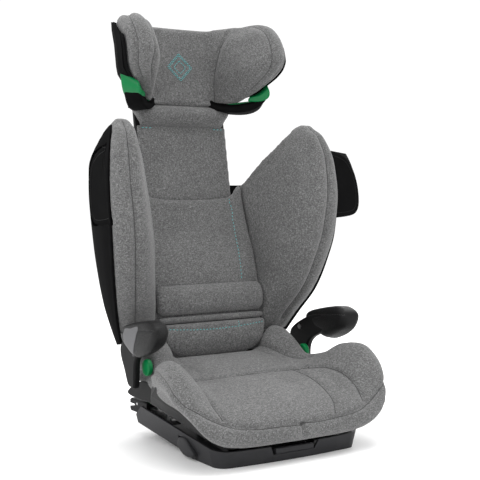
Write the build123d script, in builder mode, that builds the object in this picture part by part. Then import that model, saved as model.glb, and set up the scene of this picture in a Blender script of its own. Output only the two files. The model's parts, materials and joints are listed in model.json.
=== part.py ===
"""High-backed child booster seat with anchor connectors, built as an assembly.

World frame: +X to the seat's left-hand side as seen from the front, +Y to the rear, +Z up,
with the origin at the centre of the base's flat underside.  The backrest has its own frame:
x is shared, v runs to the rear and w runs up along the leaning back, from the recline pivot.
"""
import os
from math import cos, radians, sin

from build123d import *

os.makedirs("parts", exist_ok=True)

# driving dimensions, in millimetres and degrees
RECLINE = 10.0
PIVOT_Y, PIVOT_Z = 130.0, 105.0
SHAFT_GAP = 0.05             # radial clearance of a pin in a bore

BASE_FRONT, BASE_REAR, BASE_HALF = -208.0, 98.0, 151.0
BASE_WALL = 4.0
RIM_SLOPE = 7.6              # the rim and the seat above it rise towards the rear
RIM_FRONT_Z = 27.0           # rim height at y = RIM_START
RIM_START = -230.0
KEEL_HALF = 90.0             # half-width of the flat underside between the raised sides
DECK_HALF = 118.0
DECK_DROP, DECK_THICK = 7.0, 3.0

ANCHOR_X = 140.0             # half the spacing of the vehicle's anchor bars
HOUSING_HALF = 13.0
HOOK_PIVOT_Y, HOOK_PIVOT_Z = 101.0, 62.0

SEAT_PAN_Y, SEAT_PAN_Z = -212.0, 36.0
PAN_LENGTH = 318.0
PAN_THICK = 5.0
SEAT_FRONT, SEAT_HALF = -237.0, 232.0

BACK_HALF = 128.0            # half-width of the flat middle of the backrest
BACK_TOP = 385.0
SHELL_THICK = 4.0
PLATE_FRONT = -14.5          # front face of the shell's middle plate
WING_STATIONS = (            # height w, half-width, reach of the front edge
    (70, 190, -60), (102, 206, -88), (150, 228, -136), (200, 241, -168), (260, 251, -197),
    (343, 256, -215), (400, 252, -217), (455, 238, -205), (486, 222, -172),
)
GUARD_X, GUARD_V = 244.0, -172.0
GUARD_LOW, GUARD_HIGH = 293.0, 431.0
GUARD_LENGTH, GUARD_NECK = 82.0, 22.0

HEAD_LOW, HEAD_TOP = 550.0, 709.0
HEAD_MIDDLE = 75.0           # half-width of the flat middle of the headrest
HEAD_STATIONS = (
    (562, 142, -132), (574, 158, -150), (592, 182, -174), (606, 188, -188), (622, 190, -195), (650, 189, -190),
    (680, 186, -168), (702, 178, -140), (714, 168, -118),
)
STEM_LOW, STEM_HALF = 215.0, 105.0

COS, SIN = cos(radians(RECLINE)), sin(radians(RECLINE))
RIM_COS, RIM_SIN = cos(radians(RIM_SLOPE)), sin(radians(RIM_SLOPE))


def rim_z(y):
    return RIM_FRONT_Z + (y - RIM_START) * RIM_SIN / RIM_COS


def save(builder, name):
    builder.part.label = name
    export_step(builder.part, f"parts/{name}.step")


def across(w):
    """Plane across the backrest at height w: local x is x, local y is v."""
    return Plane(origin=(0, PIVOT_Y + w * SIN, PIVOT_Z + w * COS), x_dir=(1, 0, 0), z_dir=(0, SIN, COS))


def beside(x):
    """Side plane of the backrest at x: local x is v, local y is w."""
    return Plane(origin=(x, PIVOT_Y, PIVOT_Z), x_dir=(0, COS, -SIN), z_dir=(1, 0, 0))


def facing(v):
    """Plane facing forward at depth v of the backrest: local x is x, local y is w."""
    return Plane(origin=(0, PIVOT_Y + v * COS, PIVOT_Z - v * SIN), x_dir=(1, 0, 0), z_dir=(0, -COS, SIN))


def upright(x):
    """World side plane at x: local x is y, local y is z."""
    return Plane(origin=(x, 0, 0), x_dir=(0, 1, 0), z_dir=(1, 0, 0))


def polygon(plane, points):
    with BuildSketch(plane) as outline:
        with BuildLine():
            Polyline(*points, close=True)
        make_face()
    return outline.sketch


def smooth(plane, points):
    with BuildSketch(plane) as outline:
        with BuildLine():
            Spline(*points, periodic=True)
        make_face()
    return outline.sketch


def brick(xs, ys, zs, mode=Mode.ADD):
    """World box between pairs of coordinates."""
    with BuildSketch(Plane.XY.offset(zs[0])) as outline:
        with Locations(((xs[0] + xs[1]) / 2, (ys[0] + ys[1]) / 2)):
            Rectangle(xs[1] - xs[0], ys[1] - ys[0])
    extrude(outline.sketch, amount=zs[1] - zs[0], mode=mode)


def back_brick(xs, vs, ws, mode=Mode.ADD):
    """Box in the backrest's frame."""
    with BuildSketch(across(ws[0])) as outline:
        with Locations(((xs[0] + xs[1]) / 2, (vs[0] + vs[1]) / 2)):
            Rectangle(xs[1] - xs[0], vs[1] - vs[0])
    extrude(outline.sketch, amount=ws[1] - ws[0], mode=mode)


def side_prism(points, xs, mode=Mode.ADD, plane=upright):
    extrude(polygon(plane(xs[0]), points), amount=xs[1] - xs[0], mode=mode)


def side_pillow(points, xs, mode=Mode.ADD, plane=upright):
    extrude(smooth(plane(xs[0]), points), amount=xs[1] - xs[0], mode=mode)


def side_cushion(points, xs, rounding):
    """Pillow with stepped round edges: each wider slab has a smaller outline."""
    middle = [sum(values) / len(points) for values in zip(*points)]
    for depth, size in ((0, 0.7), (0.25, 0.84), (0.6, 0.94), (1, 1)):
        scaled = [tuple(m + size * (p - m) for p, m in zip(point, middle)) for point in points]
        side_prism(scaled, (xs[0] + depth * rounding, xs[1] - depth * rounding))


def rod(plane, centre, radius, length, mode=Mode.ADD):
    with BuildSketch(plane) as outline:
        with Locations(centre):
            Circle(radius)
    extrude(outline.sketch, amount=length, mode=mode)


def mirrored(builder):
    return mirror(builder.part, about=Plane.YZ, mode=Mode.PRIVATE)


# base ---------------------------------------------------------------------------------------
def base_outline(z, inset):
    """Plan of the base with a bowed front and rounded corners."""
    half, front, rear = BASE_HALF - inset, BASE_FRONT + inset, BASE_REAR - inset
    bow = 9
    with BuildSketch(Plane.XY.offset(z)) as outline:
        with BuildLine():
            Polyline((half, front + bow), (half, rear), (-half, rear), (-half, front + bow))
            ThreePointArc((-half, front + bow), (0, front), (half, front + bow))
        make_face()
        fillet(outline.vertices().group_by(Axis.Y)[0], 24)
        fillet(outline.vertices().group_by(Axis.Y)[-1], 14)
    return outline.sketch


TRAY_FLARE = -13.0
UNDERCUT = ((-105, -1), (-64, 10), (140, 35), (140, -1))
RAISED_FLOOR = ((-110, -1), (-110, 4), (-64, 14), (140, 39), (140, -1))
REAR_CUT = ((58, 95), (58, 67), (92, 43.4), (120, 43.4), (120, 95))
LEVER_WINDOW = ((-126, 7), (-72, 11), (-72, 36), (-90, 36), (-126, 20))
POSTS = ((-80, -150, 26), (80, -150, 26), (-80, -20, 43), (80, -20, 43))

with BuildPart() as tray_hollow:
    extrude(base_outline(BASE_WALL, BASE_WALL), amount=90, taper=TRAY_FLARE)
    for side in (-1, 1):
        near, far = sorted((side * (KEEL_HALF - BASE_WALL), side * 200))
        side_prism(RAISED_FLOOR, (near, far), Mode.SUBTRACT)

with BuildPart() as base_tray:
    extrude(base_outline(0, 0), amount=90, taper=TRAY_FLARE)
    for side in (-1, 1):
        near, far = sorted((side * KEEL_HALF, side * 200))
        side_prism(UNDERCUT, (near, far), Mode.SUBTRACT)
    add(tray_hollow.part, mode=Mode.SUBTRACT)
    above_rim = ((RIM_START, rim_z(RIM_START)), (160, rim_z(160)), (160, 120), (RIM_START, 120))
    side_prism(above_rim, (-220, 220), Mode.SUBTRACT)
    notch = polygon(Plane.XZ.offset(180), ((-45, 14), (45, 14), (66, 60), (-66, 60)))
    extrude(notch, amount=60, mode=Mode.SUBTRACT)
    for side in (-1, 1):
        low, high = sorted((side * 138, side * 180))
        side_prism(LEVER_WINDOW, (low, high), Mode.SUBTRACT)
    side_prism(REAR_CUT, (-220, 220), Mode.SUBTRACT)
    for x, y, top in POSTS:
        rod(Plane.XY.offset(2), (x, y), 7, top - 2)
save(base_tray, "base_tray")

with BuildPart() as base_deck:
    deck_front, deck_rear = -190, 62
    deck_side = [(y, rim_z(y) - drop) for y, drop in (
        (deck_front, DECK_DROP), (deck_rear, DECK_DROP),
        (deck_rear, DECK_DROP + DECK_THICK), (deck_front, DECK_DROP + DECK_THICK))]
    side_prism(deck_side, (-DECK_HALF, DECK_HALF))
    for side in (-1, 1):
        low, high = sorted((side * 40, side * 52))
        brick((low, high), (-108, -2), (0, 90), Mode.SUBTRACT)
    for x, y, top in POSTS:
        rod(Plane.XY, (x, y), 2.6, 80, Mode.SUBTRACT)
save(base_deck, "base_deck")

with BuildPart() as deck_screws:
    for x, y, top in POSTS:
        head_z = rim_z(y) - DECK_DROP + 1.2
        rod(Plane.XY.offset(head_z), (x, y), 5, 2.2)
        rod(Plane.XY.offset(top + 0.2), (x, y), 2.4, head_z - top - 0.2)
save(deck_screws, "deck_screws")

with BuildPart() as recline_handle:
    brick((-41, 41), (-213, -168), (14.8, 20.5))
    brick((-41, 41), (-213, -207), (14.8, 25))
    brick((-9, 9), (-168, -120), (14.8, 20.5))
    fillet(recline_handle.edges().filter_by(Axis.X).group_by(Axis.Y)[0], 2)
save(recline_handle, "recline_handle")

with BuildPart() as release_lever_right:
    side_prism(((-125, 8), (-73, 12), (-73, 35), (-89.6, 35), (-125, 19.4)), (149, 160))
    brick((135, 149), (-110, -98), (13, 21))
    chamfer(release_lever_right.edges().group_by(Axis.X)[-1], 1.5)
save(release_lever_right, "release_lever_right")

with BuildPart() as release_lever_left:
    add(mirrored(release_lever_right))
save(release_lever_left, "release_lever_left")

# anchor connectors --------------------------------------------------------------------------
with BuildPart() as connector_crossbar:
    brick((-146, 146), (-6, 8), (38, 46))
save(connector_crossbar, "connector_crossbar")

with BuildPart() as connector_rail_right:
    brick((ANCHOR_X - 5, ANCHOR_X + 5), (-6, 61), (46, 61))
    for y in (6, 21, 36, 51):
        rod(Plane.YZ.offset(ANCHOR_X - 6), (y, 53.5), 3, 12, Mode.SUBTRACT)
save(connector_rail_right, "connector_rail_right")

with BuildPart() as connector_rail_left:
    add(mirrored(connector_rail_right))
save(connector_rail_left, "connector_rail_left")

with BuildPart() as connector_housing_right:
    near, far = ANCHOR_X - HOUSING_HALF, ANCHOR_X + HOUSING_HALF
    side_prism(((61, 44), (127, 44), (130, 50), (130, 66), (125, 70), (61, 70)), (near, far))
    fillet(connector_housing_right.edges().filter_by(Axis.Y), 3)
    brick((near - 1, far + 1), (111, 135), (56.7 - 3.3, 56.7 + 3.3), Mode.SUBTRACT)
    brick((ANCHOR_X - 4.6, ANCHOR_X + 4.6), (91, 135), (47.5, 75), Mode.SUBTRACT)
    brick((ANCHOR_X - 6.5, ANCHOR_X + 6.5), (61, 85), (64.5, 75), Mode.SUBTRACT)
    rod(Plane.YZ.offset(near - 1), (HOOK_PIVOT_Y, HOOK_PIVOT_Z), 2.5, 2 * HOUSING_HALF + 2, Mode.SUBTRACT)
save(connector_housing_right, "connector_housing_right")

with BuildPart() as connector_housing_left:
    add(mirrored(connector_housing_right))
save(connector_housing_left, "connector_housing_left")

with BuildPart() as hook_pins:
    for side in (-1, 1):
        rod(Plane.YZ.offset(side * ANCHOR_X - HOUSING_HALF), (HOOK_PIVOT_Y, HOOK_PIVOT_Z), 2.5, 2 * HOUSING_HALF)
save(hook_pins, "hook_pins")

with BuildPart() as anchor_hook_right:
    hook_side = ((96, 57), (96, 67.5), (123, 67.5), (127, 60), (127, 50), (120.5, 48.6), (119.5, 60), (113, 60.6))
    side_prism(hook_side, (ANCHOR_X - 4, ANCHOR_X + 4))
    rod(Plane.YZ.offset(ANCHOR_X - 5), (HOOK_PIVOT_Y, HOOK_PIVOT_Z), 2.5 + SHAFT_GAP, 10, Mode.SUBTRACT)
save(anchor_hook_right, "anchor_hook_right")

with BuildPart() as anchor_hook_left:
    add(mirrored(anchor_hook_right))
save(anchor_hook_left, "anchor_hook_left")

with BuildPart() as release_button_right:
    brick((ANCHOR_X - 6, ANCHOR_X + 6), (68, 84.4), (65, 71.6))
    chamfer(release_button_right.edges().group_by(Axis.Z)[-1], 1.2)
save(release_button_right, "release_button_right")

with BuildPart() as release_button_left:
    add(mirrored(release_button_right))
save(release_button_left, "release_button_left")

# seat ---------------------------------------------------------------------------------------
PAN_PLANE = Plane(origin=(0, SEAT_PAN_Y, SEAT_PAN_Z), x_dir=(1, 0, 0), z_dir=(0, -RIM_COS, -RIM_SIN))
BOWL_OUTER = ((150, 0), (176, 18), (195, 46), (209, 78), (214, 92))
BOWL_INNER = ((210, 92), (204, 78), (190, 48), (172, 22), (150, PAN_THICK))


def both_sides(points):
    """A right-hand run of points, closed by its mirror image."""
    return list(points) + [(-x, y) for x, y in reversed(points)]


def seat_outline(z, inset):
    """Plan of the seat: wide at the thighs, narrower between the armrests."""
    half, front = SEAT_HALF - inset, SEAT_FRONT + inset
    corner = front + 50
    with BuildSketch(Plane.XY.offset(z)) as outline:
        with BuildLine():
            right = ((half, corner), (half, -130), (half - 27, -40), (half - 56, 20), (half - 60, 108))
            Polyline(*both_sides(right))
            ThreePointArc((-half, corner), (0, front), (half, corner))
        make_face()
        fillet(outline.vertices().group_by(Axis.Y)[0], 45)
    return outline.sketch


with BuildPart() as seat_shell:
    bowl = list(BOWL_OUTER) + list(BOWL_INNER)
    bowl += [(-x, y) for x, y in reversed(bowl)]
    extrude(polygon(PAN_PLANE, bowl), amount=-PAN_LENGTH)
    extrude(seat_outline(0, 9), amount=220, mode=Mode.INTERSECT)
    for side in (-1, 1):
        low, high = sorted((side * 42, side * 50))
        side_prism(((-60, 40), (-60, 61), (-10, 66), (-10, 42)), (low, high))
    brick((-110, 110), (95, 103), (80, 100))
    for side in (-1, 1):
        low, high = sorted((side * 91, side * 104))
        side_prism(((95, 80), (95, 100), (118, 109), (124, 112), (130, 114), (137, 111), (139, 105), (136, 94),
                    (112, 82)), (low, high))
        rod(upright(low - 1), (PIVOT_Y, PIVOT_Z), 4 + SHAFT_GAP, 15, Mode.SUBTRACT)
save(seat_shell, "seat_shell")

MIDDLE_TOP = ((-236, 66), (-226, 82), (-200, 98), (-140, 117), (-67, 133), (0, 144), (66, 151), (73, 146))
BOLSTER_TOP = (
    (-236, 66), (-222, 102), (-190, 146), (-160, 178), (-136, 186), (-104, 182), (-62, 158), (-20, 143),
    (0, 143), (20, 166), (44, 195), (56, 198), (66, 188), (70, 160), (73, 140),
)
LIP_VOID = ((120, 36), (165, 55), (200, 90), (240, 118), (240, -20))

with BuildPart() as seat_cushion:
    side_prism(((73, 33),) + tuple(reversed(MIDDLE_TOP)) + ((-236, 33),), (-135, 135))
    for side in (-1, 1):
        low, high = sorted((side * 114, side * 236))
        side_prism(((73, 33),) + tuple(reversed(BOLSTER_TOP)) + ((-236, 33),), (low, high))
    extrude(seat_outline(0, 0), amount=260, mode=Mode.INTERSECT)
    under_bowl = [(150, PAN_THICK), (172, 22), (190, 48), (204, 78), (213, 93), (250, 100), (250, -90)]
    extrude(polygon(PAN_PLANE, both_sides(under_bowl)), amount=-PAN_LENGTH, mode=Mode.SUBTRACT)
    lip = list(LIP_VOID)
    extrude(polygon(Plane.XZ.offset(211), both_sides(lip)), amount=60, mode=Mode.SUBTRACT)
    for side in (-1, 1):
        low, high = sorted((side * 172, side * 200))
        brick((low, high), (-20, 32), (124, 174), Mode.SUBTRACT)
    add(seat_shell.part, mode=Mode.SUBTRACT)
save(seat_cushion, "seat_cushion")

HORN_SIDE = (
    (14, 112), (26, 112), (40, 150), (52, 178), (56, 200), (56, 216), (48, 226), (20, 232), (-50, 236), (-50, 216),
    (0, 204), (16, 188), (20, 168), (16, 146),
)
REST_SIDE = (
    (-118, 237), (-101, 245), (-72, 248), (-25, 240), (15, 228), (26, 217), (14, 198), (-9, 181),
    (-38, 176), (-76, 188), (-105, 205), (-117, 220),
)

with BuildPart() as armrest_horn_right:
    side_prism(HORN_SIDE, (190, 204))
    fillet(armrest_horn_right.edges().filter_by(Axis.X), 3)
    brick((172, 198), (4, 24), (106, 130))
    add(seat_shell.part, mode=Mode.SUBTRACT)
    add(seat_cushion.part, mode=Mode.SUBTRACT)
    rod(upright(188), (36, 196), 5, 20, Mode.SUBTRACT)
save(armrest_horn_right, "armrest_horn_right")

with BuildPart() as armrest_horn_left:
    add(mirrored(armrest_horn_right))
save(armrest_horn_left, "armrest_horn_left")

with BuildPart() as armrest_cover_right:
    side_cushion(REST_SIDE, (191, 231), 9)
    add(armrest_horn_right.part, mode=Mode.SUBTRACT)
    inset_plane = upright(229.4)
    inset = smooth(inset_plane, ((-50, 226), (-20, 224), (6, 212), (-6, 196), (-22, 188), (-36, 204)))
    extrude(inset, amount=6, mode=Mode.SUBTRACT)
save(armrest_cover_right, "armrest_cover_right")

with BuildPart() as armrest_cover_left:
    add(mirrored(armrest_cover_right))
save(armrest_cover_left, "armrest_cover_left")

with BuildPart() as armrest_inset_right:
    extrude(inset, amount=2.4)
save(armrest_inset_right, "armrest_inset_right")

with BuildPart() as armrest_inset_left:
    add(mirrored(armrest_inset_right))
save(armrest_inset_left, "armrest_inset_left")

with BuildPart() as armrest_screws:
    for side in (-1, 1):
        low = 189 if side > 0 else -205
        rod(upright(low), (36, 196), 4.9, 16)
save(armrest_screws, "armrest_screws")

with BuildPart() as lap_guide_right:
    side_pillow(((-14, 150), (-8, 162), (6, 168), (20, 162), (25, 148), (18, 136), (4, 132), (-9, 138)), (174, 185))
    side_pillow(((-5, 150), (0, 157), (10, 158), (16, 150), (10, 142), (1, 142)), (174, 185), Mode.SUBTRACT)
    brick((173, 186), (-20, 0), (147, 156), Mode.SUBTRACT)
save(lap_guide_right, "lap_guide_right")

with BuildPart() as lap_guide_left:
    add(mirrored(lap_guide_right))
save(lap_guide_left, "lap_guide_left")


# backrest -----------------------------------------------------------------------------------
# shares of a wing's width and depth along the inside of its shell
BACK_WALL = ((0.2, 0.01), (0.46, 0.055), (0.74, 0.177), (0.93, 0.394), (1.0, 0.67), (0.99, 0.88))
HEAD_WALL = ((0.2, 0.03), (0.42, 0.11), (0.65, 0.27), (0.82, 0.44), (0.9, 0.59), (0.93, 0.74))


def cup_inside(middle, rear, half, reach):
    """Rear skin of one side wing, from the middle of the back out to its front edge."""
    shares = BACK_WALL if middle > HEAD_MIDDLE else HEAD_WALL
    width, depth = half - middle, reach - rear
    return [(middle, rear)] + [(middle + a * width, rear + b * depth) for a, b in shares]


def cup_front(middle, front, half, reach):
    """Front skin of one side wing, a full lobe from its front edge back in to the middle."""
    seam = half - 0.28 * (half - middle)
    width, depth = seam - middle, reach - front
    lobe = ((0.66, 0.93), (0.4, 0.72), (0.18, 0.4), (0, 0)) if middle > HEAD_MIDDLE else (
        (0.6, 0.94), (0.3, 0.72), (0.1, 0.36), (0, 0))
    skin = [(seam + 0.45 * (half - seam), reach + 3), (seam, reach + 4)]
    skin += [(middle + a * width, front + b * depth) for a, b in lobe]
    return skin


def cup_pad(middle, front, rear, half, reach):
    return cup_inside(middle, rear, half, reach) + cup_front(middle, front, half, reach)


def cup_shell(middle, rear, half, reach):
    inside = cup_inside(middle, rear, half, reach)
    shifts = ((0, 1), (0.05, 1), (0.2, 0.98), (0.62, 0.8), (0.93, 0.4), (1, 0.05), (1, -0.1))
    outside = [(x + SHELL_THICK * a, v + SHELL_THICK * b) for (x, v), (a, b) in zip(inside, shifts)]
    return inside + list(reversed(outside))


WING = (BACK_HALF, -33.0, PLATE_FRONT)
HEAD = (HEAD_MIDDLE, -40.0, -15.3)
SHELL_CUT = ((-240, 512), (-176, 482), (-160, 466), (-128, 440), (-70, 404), (-38, 385), (40, 385), (40, 560))
TOP_CUT = ((-240, 530), (-176, 500), (-160, 484), (-128, 455), (-38, 385), (40, 385), (40, 560))


def pocket(inset, mode):
    """Recess in the wing's outer wall that takes the folded guard."""
    outer = 262 if inset == 0 else 285
    back_brick((231 + inset, outer), (-187 + inset, -85 - inset),
               (GUARD_LOW - 7 + inset * 5 / 3, GUARD_HIGH + 7 - inset * 5 / 3), mode)


with BuildPart() as wing_envelope:
    for station in WING_STATIONS:
        wall = cup_shell(WING[0], WING[2], station[1], station[2])
        with BuildSketch(across(station[0])):
            with BuildLine():
                Polyline((90, station[2]), *wall[6:14], (90, 0), close=True)
            make_face()
    loft(ruled=True)

with BuildPart() as shell_wall:
    for station in WING_STATIONS:
        with BuildSketch(across(station[0])):
            with BuildLine():
                Polyline(*cup_shell(WING[0], WING[2], station[1], station[2]), close=True)
            make_face()
    loft(ruled=True)
    pocket(0, Mode.ADD)
    pocket(3, Mode.SUBTRACT)
    add(wing_envelope.part, mode=Mode.INTERSECT)
    side_prism(SHELL_CUT, (100, 300), Mode.SUBTRACT, beside)

with BuildPart() as back_shell:
    back_brick((-BACK_HALF, BACK_HALF), (PLATE_FRONT, PLATE_FRONT + 5.5), (14, BACK_TOP))
    add(shell_wall.part)
    add(mirrored(shell_wall))
    back_brick((-13, 13), (-20, 0), (70, 300), Mode.SUBTRACT)
    for side in (-1, 1):
        low, high = sorted((side * 62, side * 90))
        side_prism(((-14.5, 30), (-14.5, 0), (-11, -9), (0, -12), (11, -6), (12, 4), (2, 30)),
                   (low, high), plane=beside)
        rod(beside(low - 1), (0, 0), 4, 30, Mode.SUBTRACT)
        centre = (side * GUARD_X, GUARD_V)
        rod(across(GUARD_LOW - 8), centre, 3, GUARD_HIGH - GUARD_LOW + 16, Mode.SUBTRACT)
save(back_shell, "back_shell")

with BuildPart() as recline_pins:
    for side in (-1, 1):
        low = 63 if side > 0 else -103
        rod(upright(low), (PIVOT_Y, PIVOT_Z), 4, 40)
save(recline_pins, "recline_pins")

with BuildPart() as guard_pins:
    for side in (-1, 1):
        rod(across(GUARD_LOW - 6.5), (side * GUARD_X, GUARD_V), 3, GUARD_HIGH - GUARD_LOW + 13)
save(guard_pins, "guard_pins")

with BuildPart() as wing_pad_right:
    for station in WING_STATIONS:
        with BuildSketch(across(station[0])):
            with BuildLine():
                Polyline(*cup_pad(*WING, station[1], station[2]), close=True)
            make_face()
    loft(ruled=True)
    side_prism(TOP_CUT, (100, 300), Mode.SUBTRACT, beside)
    back_brick((230.8, 275), (-187.3, -84.7), (GUARD_LOW - 7.3, GUARD_HIGH + 7.3), Mode.SUBTRACT)
save(wing_pad_right, "wing_pad_right")

with BuildPart() as wing_pad_left:
    add(mirrored(wing_pad_right))
save(wing_pad_left, "wing_pad_left")

PAD_SIDE = ((-32, 356), (-40, 353), (-72, 176), (-68, 104), (-52, 36), (-32, 32))
LUMBAR_SIDE = ((-72.5, 174), (-84, 170), (-90, 150), (-90, 128), (-84, 110), (-69, 106), (-71, 150))
FLAP_SIDE = ((-68.4, 103), (-84, 99), (-83, 66), (-72, 45), (-54.8, 42))

with BuildPart() as back_pad:
    side_prism(PAD_SIDE, (-125, 125), plane=beside)
    for side in (-1, 1):
        low, high = sorted((side * 108, side * 125))
        back_brick((low, high), (-33, PLATE_FRONT), (34, 354))
save(back_pad, "back_pad")

with BuildPart() as lumbar_pad:
    side_prism(LUMBAR_SIDE, (-122, 122), plane=beside)
save(lumbar_pad, "lumbar_pad")

with BuildPart() as lower_flap:
    side_prism(FLAP_SIDE, (-104, 104), plane=beside)
save(lower_flap, "lower_flap")

with BuildPart() as height_rack:
    for side in (-1, 1):
        low, high = sorted((side * 13.5, side * 28))
        back_brick((low, high), (-9, -4), (66, 304))
        for w in range(75, 300, 15):
            back_brick((low, high), (-4, 0), (w, w + 5))
    for w in (66, 299):
        back_brick((-13.5, 13.5), (-9, -4), (w, w + 5))
save(height_rack, "height_rack")

with BuildPart() as rear_cover:
    back_brick((-118, 118), (-9, 17), (34, 380))
    back_brick((-115, 115), (-10, 14), (37, 377), Mode.SUBTRACT)
    fillet(rear_cover.edges().filter_by(Axis((0, 0, 0), (0, SIN, COS))).group_by(Axis.Y)[-1], 6)
save(rear_cover, "rear_cover")

with BuildPart() as cover_screws:
    for x in (-106, 106):
        for w in (60, 350):
            with BuildSketch(facing(14)) as shank:
                with Locations((x, w)):
                    Circle(2)
            extrude(shank.sketch, amount=22.8)
save(cover_screws, "cover_screws")


# side guards --------------------------------------------------------------------------------
def guard_frame(w):
    """Plane across the guard's hinge axis: local x runs out along the opened guard."""
    base = across(w)
    return Plane(origin=base.from_local_coords((GUARD_X, GUARD_V, 0)), x_dir=(1, 0, 0), z_dir=base.z_dir)


GUARD_THICK = 14.0

with BuildPart() as guard_arm_right:
    face = Plane(origin=facing(GUARD_V + GUARD_THICK / 2).from_local_coords((GUARD_X, 0, 0)),
                 x_dir=(1, 0, 0), z_dir=facing(0).z_dir)
    middle = (GUARD_LOW + GUARD_HIGH) / 2
    with BuildSketch(face) as guard_outline:
        with BuildLine():
            Polyline((GUARD_LENGTH - 18, GUARD_LOW + 6), (GUARD_NECK, GUARD_LOW), (GUARD_NECK, GUARD_HIGH),
                     (GUARD_LENGTH - 18, GUARD_HIGH - 6))
            ThreePointArc((GUARD_LENGTH - 18, GUARD_HIGH - 6), (GUARD_LENGTH, middle),
                          (GUARD_LENGTH - 18, GUARD_LOW + 6))
        make_face()
    extrude(guard_outline.sketch, amount=GUARD_THICK * 0.55)
    for w in (GUARD_LOW + 5, GUARD_HIGH - 29):
        with BuildSketch(guard_frame(w)) as knuckle:
            Circle(6.5)
            with Locations((13, 3)):
                Rectangle(22, 7)
            Circle(3 + SHAFT_GAP, mode=Mode.SUBTRACT)
        extrude(knuckle.sketch, amount=24)
save(guard_arm_right, "guard_arm_right")

with BuildPart() as guard_cover_right:
    front_face = face.offset(GUARD_THICK * 0.55)
    raised = guard_outline.sketch.moved(Location(front_face.origin - face.origin))
    extrude(raised, amount=GUARD_THICK * 0.45)
    outer_face = guard_cover_right.faces().sort_by(Axis((0, 0, 0), (0, -COS, SIN)))[-1]
    chamfer(outer_face.edges(), 3)
save(guard_cover_right, "guard_cover_right")


def folded_left(builder):
    """The left guard is the right one mirrored, then folded back by a quarter turn."""
    hinge = Axis((-GUARD_X, PIVOT_Y + GUARD_V * COS, PIVOT_Z - GUARD_V * SIN), (0, SIN, COS))
    return mirrored(builder).rotate(hinge, -90)


with BuildPart() as guard_arm_left:
    add(folded_left(guard_arm_right))
save(guard_arm_left, "guard_arm_left")

with BuildPart() as guard_cover_left:
    add(folded_left(guard_cover_right))
save(guard_cover_left, "guard_cover_left")

# headrest -----------------------------------------------------------------------------------
with BuildPart() as stem_plate:
    back_brick((-STEM_HALF, STEM_HALF), (-23.5, -15.5), (STEM_LOW, 560))
    back_brick((-60, 60), (-23.5, -15.5), (560, 640))
save(stem_plate, "stem_plate")

with BuildPart() as stem_cover:
    back_brick((-97, 97), (-30, -23.5), (STEM_LOW + 10, 506))
save(stem_cover, "stem_cover")

NECK_SIDE = ((-23.5, 506), (-36, 507), (-48, 515), (-51, 528), (-45, 542), (-23.5, 548))
with BuildPart() as neck_roll:
    side_prism(NECK_SIDE, (-110, 110), plane=beside)
save(neck_roll, "neck_roll")

with BuildPart() as carriage:
    back_brick((-11, 11), (-15.5, 12), (226, 262))
    back_brick((-20, 20), (1, 10.9), (240, 248), Mode.SUBTRACT)
save(carriage, "carriage")

with BuildPart() as lock_bar:
    back_brick((-25, 25), (1.3, 6.3), (240.6, 247.4))
save(lock_bar, "lock_bar")

with BuildPart() as headrest_middle:
    back_brick((-HEAD_MIDDLE, HEAD_MIDDLE), (-40, -23.8), (HEAD_LOW, HEAD_TOP))
save(headrest_middle, "headrest_middle")

HEAD_CUT = ((-260, 640), (-152, 640), (-141, 658), (-104, 690), (-60, 705), (-30, 712), (-30, 760), (-260, 760))

with BuildPart() as head_wall:
    for station in HEAD_STATIONS:
        with BuildSketch(across(station[0])):
            with BuildLine():
                Polyline(*cup_shell(HEAD[0], HEAD[2], station[1], station[2]), close=True)
            make_face()
    loft(ruled=True)
    side_prism(HEAD_CUT, (HEAD_MIDDLE + 25, 260), Mode.SUBTRACT, beside)

with BuildPart() as headrest_shell:
    back_brick((-HEAD_MIDDLE, HEAD_MIDDLE), (-15.3, -11.3), (HEAD_LOW + 2, HEAD_TOP + 5))
    add(head_wall.part)
    add(mirrored(head_wall))
    for side in (-1, 1):
        low, high = sorted((side * 74, side * 112))
        back_brick((low, high), (-15.3, -11.3), (545, 566))
        low, high = sorted((side * 41.5, side * 47))
        back_brick((low, high), (-11.3, 0), (636, 706))
save(headrest_shell, "headrest_shell")

with BuildPart() as headrest_wing_right:
    for station in HEAD_STATIONS:
        with BuildSketch(across(station[0])):
            with BuildLine():
                Polyline(*cup_pad(*HEAD, station[1], station[2]), close=True)
            make_face()
    loft(ruled=True)
    add(headrest_shell.part, mode=Mode.SUBTRACT)
save(headrest_wing_right, "headrest_wing_right")

with BuildPart() as headrest_wing_left:
    add(mirrored(headrest_wing_right))
save(headrest_wing_left, "headrest_wing_left")

GUIDE_RUN = (0.66, -0.751)     # the belt guides run outwards and forwards from the headrest's lower edge
GUIDE_ROOT = (80, -22)
GUIDE_WIDTH = 38.0
GUIDE_SIDE = (
    (-6, 560), (-6, 548), (28, 535), (62, 527), (92, 527), (114, 537), (127, 554), (131, 574), (125, 575),
    (119, 558), (108, 546), (90, 538), (60, 538), (30, 546), (6, 560),
)
LINER_SIDE = (
    (30, 546.3), (60, 538.3), (90, 538.3), (107.6, 546.4), (118.6, 558.3), (124.6, 575.3), (121.4, 576),
    (115.4, 560), (105, 549.5), (89, 541.5), (60, 541.5), (31, 549.5),
)


def guide_prism(points, width):
    """Prism across the belt guide's run, centred on it."""
    across_run = (-GUIDE_RUN[1], GUIDE_RUN[0])
    corner = [GUIDE_ROOT[k] - across_run[k] * width / 2 for k in (0, 1)]
    ground = across(0)
    plane = Plane(origin=ground.from_local_coords((corner[0], corner[1], 0)),
                  x_dir=(GUIDE_RUN[0], GUIDE_RUN[1] * COS, -GUIDE_RUN[1] * SIN),
                  z_dir=(across_run[0], across_run[1] * COS, -across_run[1] * SIN))
    up = plane.y_dir.dot(Vector(0, SIN, COS))
    with BuildSketch(plane) as outline:
        with BuildLine():
            Polyline(*[(x, w * up) for x, w in points], close=True)
        make_face()
    extrude(outline.sketch, amount=width)


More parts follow.
